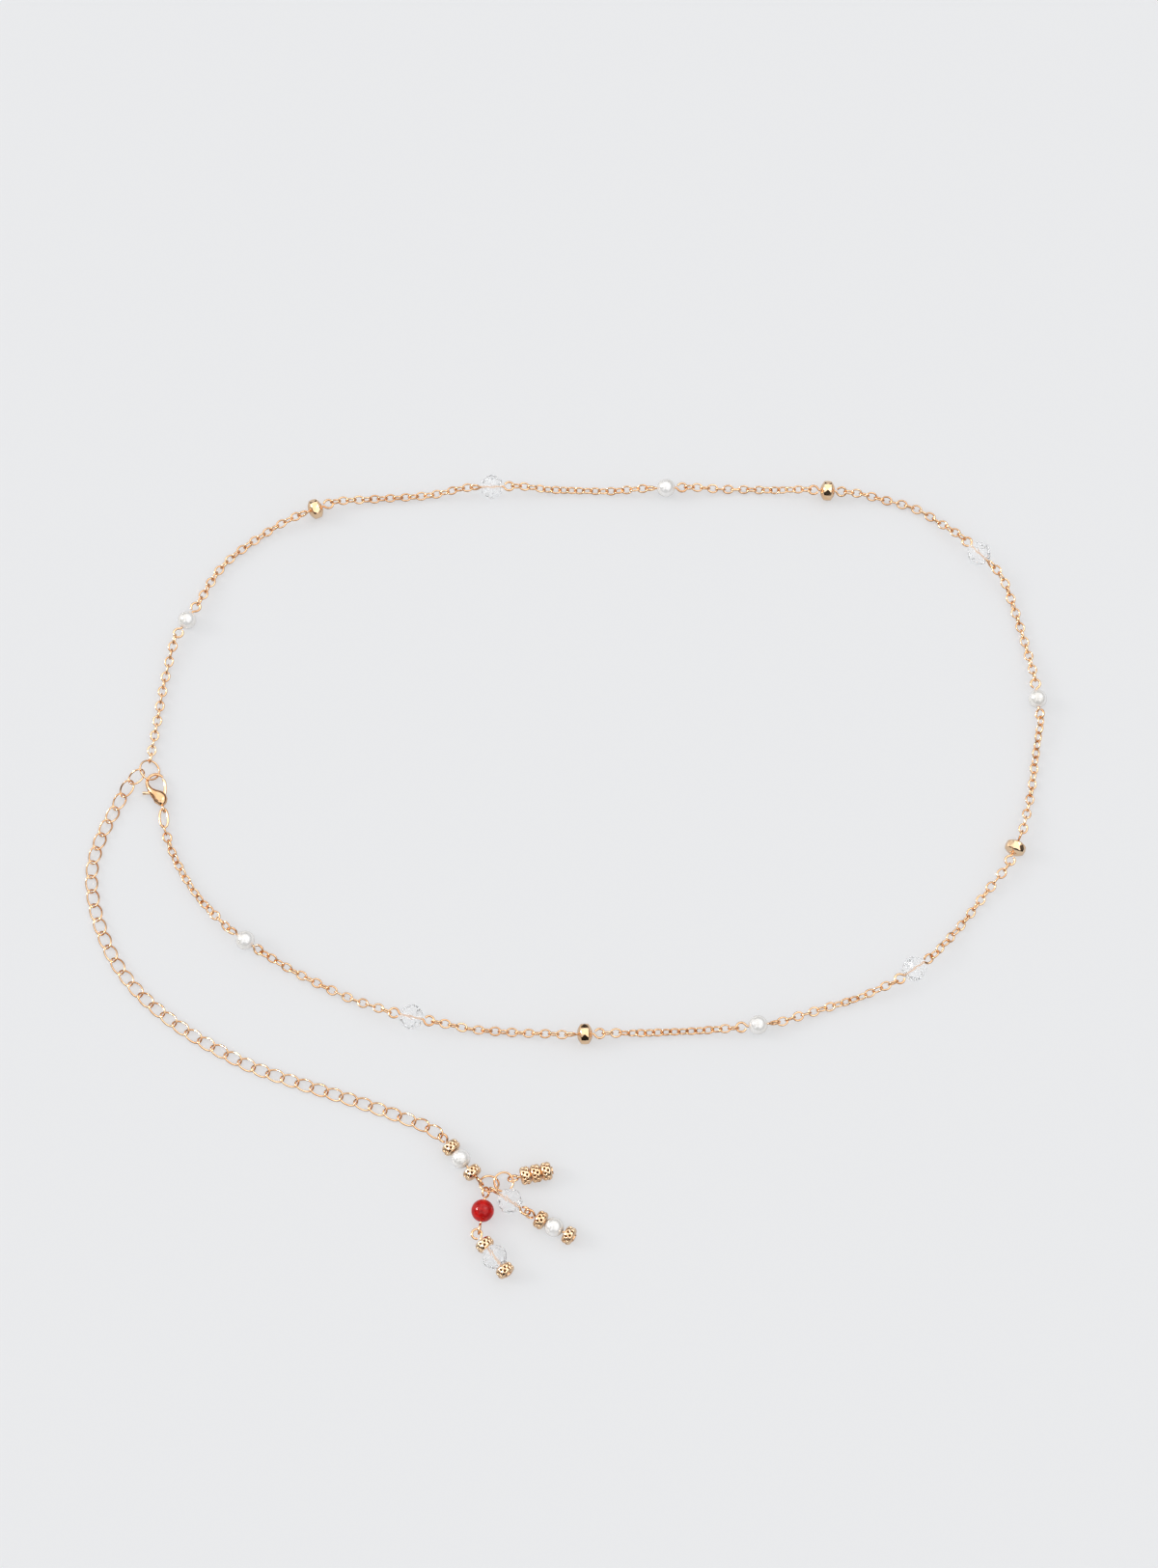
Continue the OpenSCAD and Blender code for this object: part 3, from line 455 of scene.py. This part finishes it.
# Half the length of a pearl, a rondelle and a crystal along the pin, and how high the pin lies in each.
bead_half = [2.5, 1.95, 2.8]
bead_height = [2.5, 3 * math.cos(math.pi / 8), 3.4 * math.cos(math.pi / 10)]
eye_radius, neck, tube_to_eye, sink = 1.25, 0.35, 1.8, 11
end_ring_roll, slanted_runs = 20, {10: 25, 13: 35}

# Where the clasp, the oval link and the end ring hold the chain's ends, as in the CAD model.
clasp_at, clasp_turn, clasp_z = (-108.7, 17.5), 21, 1.3
clasp_width, clasp_length = 4.6, 9.6
hook_seat, clasp_foot = (-0.12, 0.61), (-0.14, -0.22)
clasp_eye_radius = 0.85
oval_heading, oval_length, oval_seat_wire = -84, 5.9, 0.55
end_ring_radius, end_ring_rise, end_ring_lean = 2.75, 0.4, (6, 29.5)
end_ring_reach, chain_on_ring = 3.35, 90


def heading_of(angle):
    """The direction of this heading on the surface."""
    return np.array([math.cos(math.radians(angle)), math.sin(math.radians(angle))])


def smooth_curve(points, steps):
    """A smooth curve through all the points, with this many steps to a span."""
    p = np.array(points, float)
    p = np.vstack([2 * p[0] - p[1], p, 2 * p[-1] - p[-2]])
    out = []
    for a, b, c, d in zip(p, p[1:], p[2:], p[3:]):
        for t in np.arange(steps) / steps:
            out.append(0.5 * (2 * b + (c - a) * t + (2 * a - 5 * b + 4 * c - d) * t * t
                              + (3 * b - a - 3 * c + d) * t ** 3))
    return np.array(out + [p[-2]])


def distances(curve):
    """How far along a curve each of its points lies."""
    return np.concatenate([[0], np.cumsum(np.linalg.norm(np.diff(curve, axis=0), axis=1))])


def along(curve, far, s):
    """The point at distance s along a curve, which goes on straight past its ends."""
    i = int(np.clip(np.searchsorted(far, s, side="right") - 1, 0, len(far) - 2))
    return curve[i] + (curve[i + 1] - curve[i]) * (s - far[i]) / (far[i + 1] - far[i])


def sinking(s):
    """How much of a chain end's extra height is left at distance s from it."""
    return math.cos(math.pi / 2 * max(s, 0) / sink) ** 2 if s < sink else 0.0


def in_clasp(x, y):
    """The place on the surface of a point in the clasp's own frame."""
    c, s = math.cos(math.radians(clasp_turn)), math.sin(math.radians(clasp_turn))
    return np.array([clasp_at[0] + x * c - y * s, clasp_at[1] + x * s + y * c])


def on_end_ring(angle, radius):
    """The point of the tilted end ring's plane at this heading and distance from its centre."""
    h = math.radians(angle - clasp_turn)
    across, lengthways = (math.radians(v) for v in end_ring_lean)
    fall = math.tan(lengthways) * math.cos(h) - math.tan(across) / math.cos(lengthways) * math.sin(h)
    direction = np.array([*heading_of(angle), -fall])
    seat = in_clasp(hook_seat[0] * clasp_width, hook_seat[1] * clasp_length + end_ring_radius)
    return np.array([*seat, clasp_z + end_ring_rise]) + radius * direction / np.linalg.norm(direction)


clasp_eye = (clasp_foot[0] * clasp_width, clasp_foot[1] * clasp_length - clasp_eye_radius)
oval_at = in_clasp(*clasp_eye) + (oval_length - oval_seat_wire) / 2 * heading_of(oval_heading)


def bead_side(k, side):
    """Where the chain leaves bead k, or reaches it when side is -1."""
    centre, heading, _ = waist[k]
    reach = bead_half[k % 3] + neck + 1.25 * eye_radius + tube_to_eye
    return np.array([*(np.array(centre) + side * reach * heading_of(heading)), bead_height[k % 3]])


def run_path(k):
    """Run k's smooth path on the surface, its distances, and the heights of its two ends."""
    start = on_end_ring(chain_on_ring, end_ring_reach) if k == 0 else bead_side(k - 1, 1)
    stop_xy = oval_at + (oval_length / 2 + fine_lead) * heading_of(oval_heading)
    stop = np.array([*stop_xy, clasp_z]) if k == 13 else bead_side(k, -1)
    via = last_run if k == 13 else waist[k][2]
    flat = smooth_curve([start[:2], *via, stop[:2]], 12)
    return flat, distances(flat), start[2], stop[2]


def wire_loop(line, tall, wire, sides):
    """Rings of points round a closed line. The direction tall sets how the rings are turned."""
    ahead = np.roll(line, -1, axis=0) - np.roll(line, 1, axis=0)
    ahead /= np.linalg.norm(ahead, axis=1)[:, None]
    out = np.cross(ahead, tall)
    out /= np.linalg.norm(out, axis=1)[:, None]
    up = np.cross(out, ahead)
    turns = 2 * np.pi * np.arange(sides) / sides
    return line[:, None] + wire / 2 * (np.cos(turns)[None, :, None] * out[:, None]
                                       + np.sin(turns)[None, :, None] * up[:, None])


def link_mesh(name, loops, finish):
    """One mesh of closed wire loops, each a grid of points."""
    points, faces = [], []
    for grid in loops:
        rows, sides = grid.shape[:2]
        first = sum(len(p) for p in points)
        points.append(grid.reshape(-1, 3) * mm)
        for i in range(rows):
            j = (i + 1) % rows
            for k in range(sides):
                l = (k + 1) % sides
                faces.append((first + i * sides + k, first + i * sides + l, first + j * sides + l,
                              first + j * sides + k))
    made = bpy.data.meshes.new(name)
    made.from_pydata(np.vstack(points).tolist(), [], faces)
    made.polygons.foreach_set("use_smooth", [True] * len(made.polygons))
    made.materials.append(finish)
    return made


def cable_link(centre, ahead, roll):
    """An oval link of the fine chain that lies along ahead, turned by roll about it."""
    side = np.cross([0, 0, 1], ahead)
    side /= np.linalg.norm(side)
    over = np.cross(ahead, side)
    in_plane = math.cos(roll) * side + math.sin(roll) * over
    normal = np.cross(ahead, in_plane)
    t = 2 * np.pi * np.arange(28) / 28
    line = centre + (fine_length - fine_wire) / 2 * np.cos(t)[:, None] * ahead \
        + (fine_width - fine_wire) / 2 * np.sin(t)[:, None] * in_plane
    return wire_loop(line, normal, fine_wire, 10)


def run_links(k):
    """The links of run k, hooked through what holds its two ends. Each link is rolled a quarter turn on from
    the last. A slow twist fits the rolls to both ends, and in a slanted run it holds the links aslant."""
    flat, far, z_start, z_stop = run_path(k)
    total = far[-1]
    count = round((total - 2 * fine_lead) / fine_pitch) + 1
    step = (total - 2 * fine_lead) / (count - 1)
    roll_start = end_ring_roll if k == 0 else eye_rolls[k - 1][1]
    roll_stop = 0 if k == 13 else -eye_rolls[k][0]
    spare = (roll_stop - roll_start - 90 * (count - 1)) % 180
    spare = spare - 180 if spare > 90 else spare
    reach, lying = (fine_length - fine_wire) / 2, fine_width / 2

    def place(s):
        z = lying + (z_start - lying) * sinking(s) + (z_stop - lying) * sinking(total - s)
        return np.array([*along(flat, far, s), z])

    made = []
    for i in range(count):
        s = fine_lead + i * step
        ahead = place(s + reach) - place(s - reach)
        wobble = fine_wobble * math.sin(2.3 * i + k) if 1 < i < count - 2 else 0
        if k in slanted_runs:
            held = (slanted_runs[k] - roll_start) % 90 - (90 if spare < 0 else 0)
            twist = np.interp(i, [0, 3, count - 4, count - 1], [0, held, held, spare])
        else:
            twist = spare * i / (count - 1)
        roll = math.radians(roll_start + 90 + i * 90 + twist + wobble)
        made.append(cable_link(place(s), ahead / np.linalg.norm(ahead), roll))
    return made


for chain_name, runs in [("fine_chain_upper", range(0, 7)), ("fine_chain_lower", range(7, 14))]:
    links = [link for k in runs for link in run_links(k)]
    set_piece(chain_name + "_links", link_mesh(chain_name, links, warm_gold), "warm_gold", "chain", chain_name)

# ---- Extension chain
# Open curb links of thin round brass wire, plated with the pins, each twisted so that it lies flat and
# hooks the next. The chain starts on the end ring and carries the tassel at its other end.
extension_route = [
    (-118, 20.5), (-122, 12.5), (-125, 5), (-126.5, -3), (-125.5, -11.5), (-123, -19.5), (-119.5, -27),
    (-114.5, -34), (-108.5, -40), (-98.5, -47.5), (-84, -55.5), (-72, -60), (-56.5, -65), (-45, -69),
    (-37.5, -72)]
tassel_at, tassel_heading = np.array([-32.4, -75.5]), -50
curb_length, curb_width, curb_wire, curb_twist = 5.3, 3.5, 0.48, 38
curb_lean, curb_height, tassel_height = -24, 0.77, 2.5
curb_slack, curb_rise, curb_in_ring, curb_in_eye, curb_fullness = 0.22, 0.3, 0.06, 0.39, 0.85
end_ring_wire, extension_on_ring = 0.5, 206

curb_from = on_end_ring(extension_on_ring, end_ring_radius - (end_ring_wire + curb_wire) / 2 + curb_in_ring)
curb_to = tassel_at - (eye_radius - curb_in_eye) * heading_of(tassel_heading)
curb_curve = smooth_curve([curb_from[:2], *extension_route, curb_to], 8)
curb_far = distances(curb_curve)
curb_total = curb_far[-1]
curb_count = math.ceil(curb_total / (curb_length - 2 * curb_wire - curb_slack))


def fuller(share, power):
    """Bends a circle's cosine or sine so that the oval it draws is fuller at its corners."""
    return np.sign(share) * np.abs(share) ** power


def curb_point(s):
    """The middle of the extension chain at distance s from the end ring."""
    z = curb_height + (curb_from[2] + curb_rise - curb_height) * sinking(s) \
        + (tassel_height - curb_height) * sinking(curb_total - s)
    return np.array([*along(curb_curve, curb_far, s), z])


def curb_link(i):
    """Curb link i, an oval that is twisted along its length."""
    step = curb_total / curb_count
    start, stop = curb_point(i * step), curb_point((i + 1) * step)
    ahead = (stop - start) / np.linalg.norm(stop - start)
    side = np.cross([0, 0, 1], ahead)
    side /= np.linalg.norm(side)
    over = np.cross(ahead, side)
    lean = curb_lean * sinking((i + 0.5) * step)
    t = 2 * np.pi * (np.arange(42) + 0.5) / 42
    half_long, half_wide = (curb_length - curb_wire) / 2, (curb_width - curb_wire) / 2
    x, y = half_long * fuller(np.cos(t), curb_fullness), half_wide * fuller(np.sin(t), curb_fullness)
    turn = np.radians(lean + curb_twist * x / half_long)
    line = (start + stop) / 2 + x[:, None] * ahead + (y * np.cos(turn))[:, None] * side \
        + (y * np.sin(turn))[:, None] * over
    tall = np.cos(turn)[:, None] * over - np.sin(turn)[:, None] * side
    return wire_loop(line, tall, curb_wire, 12)


extension_mesh = link_mesh("extension_chain", [curb_link(i) for i in range(curb_count)], warm_gold)
set_piece("extension_chain_links", extension_mesh, "warm_gold", "chain", "extension_chain")

# ---- Lobster clasp
# A die-cast body with a hooked arm and an end eye, slotted for a sprung lever that turns on a rivet. The
# body is tumbled smooth and plated with the wire, and the lever is the rondelles' yellower gold.
clasp_thick, clasp_eye_wire = 2.6, 0.7
lever_half, pad_half, lever_fullness, hub_radius, hub_bevel = 0.34, 0.6, 0.85, 0.84, 0.12
slot_half, slot_low, slot_high, slot_hub, slot_reach = 0.47, -0.48, 3.17, 0.97, 7
clasp_place = Matrix.Translation(Vector((*clasp_at, clasp_z)) * mm) @ Matrix.Rotation(
    math.radians(clasp_turn), 4, "Z")

# Sections as shares of the clasp's sizes: place across, place along, half width and half thickness.
body_rows = [
    (-0.12, -0.22, 0.06, 0.12), (-0.11, -0.18, 0.2, 0.3), (-0.09, -0.1, 0.33, 0.45), (-0.1, 0, 0.42, 0.5),
    (-0.18, 0.1, 0.38, 0.5), (-0.34, 0.22, 0.26, 0.46), (-0.46, 0.34, 0.17, 0.38), (-0.52, 0.47, 0.12, 0.25),
    (-0.51, 0.58, 0.1, 0.16), (-0.4, 0.67, 0.09, 0.14), (-0.21, 0.73, 0.085, 0.14),
    (0, 0.745, 0.085, 0.14), (0.2, 0.715, 0.085, 0.14), (0.34, 0.66, 0.08, 0.14), (0.42, 0.605, 0.07, 0.13),
    (0.445, 0.575, 0.05, 0.1)]
gate_rows = [(0.05, 0, 0.14), (0.28, 0.15, 0.1), (0.41, 0.3, 0.085), (0.455, 0.42, 0.085), (0.44, 0.485, 0.08),
             (0.405, 0.535, 0.06)]
tab_rows = [(-0.05, 0.02, 0.12), (-0.35, 0.18, 0.09), (-0.62, 0.27, 0.085), (-0.92, 0.32, 0.085)]
pad_rows = [(-0.78, 0.3, 0.085), (-0.95, 0.325, 0.09)]


def bar_faces(rings, sides):
    """The faces of a bar of so many rings of points, closed at both ends."""
    faces = [(i * sides + k, i * sides + (k + 1) % sides, (i + 1) * sides + (k + 1) % sides,
              (i + 1) * sides + k) for i in range(rings - 1) for k in range(sides)]
    return faces + [tuple(range(sides - 1, -1, -1)), tuple((rings - 1) * sides + k for k in range(sides))]


def clasp_skin(rows, power=1.0, steps=5, sides=24):
    """Points and faces of a bar through the rows, closed at both ends. A power below 1 makes its section
    fuller."""
    line = smooth_curve(rows, steps)
    line[:, 3] = np.minimum(line[:, 3], max(row[3] for row in rows))
    ahead = np.gradient(line[:, :2], axis=0)
    ahead /= np.linalg.norm(ahead, axis=1)[:, None]
    t = 2 * np.pi * np.arange(sides) / sides
    c, s = fuller(np.cos(t), power), fuller(np.sin(t), power)
    points = np.empty((len(line), sides, 3))
    points[:, :, 0] = line[:, :1] + ahead[:, 1:] * line[:, 2:3] * c
    points[:, :, 1] = line[:, 1:2] - ahead[:, :1] * line[:, 2:3] * c
    points[:, :, 2] = line[:, 3:4] * s
    return points.reshape(-1, 3), bar_faces(len(line), sides)


def disc(radius, half, sides=48):
    """Points and faces of a round plate about the rivet, with bevelled rims."""
    t = 2 * np.pi * np.arange(sides) / sides
    rim = [(radius - hub_bevel, -half), (radius, -half + hub_bevel), (radius, half - hub_bevel),
           (radius - hub_bevel, half)]
    return [(r * math.cos(a), r * math.sin(a), z) for r, z in rim for a in t], bar_faces(len(rim), sides)


def joined(name, *parts):
    """One mesh of several closed shapes, in the clasp's own frame."""
    points, faces = [], []
    for some, sides in parts:
        first = len(points)
        points += [tuple(q) for q in np.asarray(some) * mm]
        faces += [tuple(first + c for c in face) for face in sides]
    made = bpy.data.meshes.new(name)
    made.from_pydata(points, [], faces)
    face_outwards(made)
    return made


def cut_away(*meshes):
    """The first mesh with the others taken out of it."""
    shape, *cutters = [bpy.data.objects.new(each.name, each) for each in meshes]
    for each in (shape, *cutters):
        bpy.context.scene.collection.objects.link(each)
    for cutter in cutters:
        cut = shape.modifiers.new("cut", "BOOLEAN")
        cut.operation, cut.solver, cut.object = "DIFFERENCE", "EXACT", cutter
    bpy.context.view_layer.update()
    made = bpy.data.meshes.new_from_object(shape.evaluated_get(bpy.context.evaluated_depsgraph_get()))
    for each in (shape, *cutters):
        bpy.data.objects.remove(each)
    return made


def polished(made, angle, finish):
    """Puts a clasp mesh in its place, with smooth surfaces between edges sharper than the angle."""
    made.transform(clasp_place)
    made.materials.clear()
    made.materials.append(finish)
    made.polygons.foreach_set("use_smooth", [True] * len(made.polygons))
    made.set_sharp_from_angle(angle=math.radians(angle))
    return made


def sized(rows, half=None):
    """The rows in mm, with this half thickness where one is given."""
    return [(x * clasp_width, y * clasp_length, w * clasp_width, half or rest[0] * clasp_thick)
            for x, y, w, *rest in rows]


slot_box = ([(x, y, z) for z in (-slot_half, slot_half) for y in (slot_low, slot_high)
             for x in (-slot_reach, slot_reach)],
            [(0, 1, 3, 2), (4, 6, 7, 5), (0, 4, 5, 1), (2, 3, 7, 6), (0, 2, 6, 4), (1, 5, 7, 3)])
clasp_shell = cut_away(joined("clasp_shell", clasp_skin(sized(body_rows))), joined("slot", slot_box),
                       joined("slot_hub", disc(slot_hub, slot_half)))
set_piece("clasp_body_polished", polished(clasp_shell, 40, warm_gold), "warm_gold", "chain", "clasp_body")

eye_t = 2 * np.pi * np.arange(40) / 40
eye_line = np.column_stack([np.full(40, clasp_eye[0]), clasp_eye[1] + clasp_eye_radius * np.cos(eye_t),
                            clasp_eye_radius * np.sin(eye_t)])
eye_mesh = link_mesh("clasp_eye", [wire_loop(eye_line, [1, 0, 0], clasp_eye_wire, 16)], warm_gold)
eye_mesh.transform(clasp_place)
set_piece("clasp_end_eye", eye_mesh, "warm_gold", "chain", "clasp_body")

lever_bars = [clasp_skin(sized(rows, half), lever_fullness)
              for rows, half in ((gate_rows, lever_half), (tab_rows, lever_half), (pad_rows, pad_half))]
lever_mesh = joined("clasp_lever", *lever_bars, disc(hub_radius, lever_half))
set_piece("clasp_lever_polished", polished(lever_mesh, 35, yellow_gold), "warm_gold", "lever", "clasp_lever")
dress(warm_gold, "clasp_rivet")

# ---- Oval link
# One closed oval of brass wire, thicker than the chain's and plated with it. It lies flat and joins the
# clasp's end eye to the fine chain.
oval_width, oval_wire, oval_fullness = 2.8, 0.62, 0.9
oval_t = 2 * np.pi * np.arange(48) / 48
oval_ahead, oval_side = heading_of(oval_heading), heading_of(oval_heading + 90)
oval_x = (oval_length - oval_wire) / 2 * fuller(np.cos(oval_t), oval_fullness)
oval_y = (oval_width - oval_wire) / 2 * fuller(np.sin(oval_t), oval_fullness)
oval_line = np.column_stack([oval_at + oval_x[:, None] * oval_ahead + oval_y[:, None] * oval_side,
                             np.full(48, clasp_z)])
oval_mesh = link_mesh("oval_link", [wire_loop(oval_line, [0, 0, 1], oval_wire, 14)], warm_gold)
set_piece("clasp_link_oval", oval_mesh, "warm_gold", "chain", "clasp_link")

# ---- Sizes
# The dressed model's box in metres, over every shown mesh but the card. The dressed model stays within the
# CAD model's box.
low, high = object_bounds()
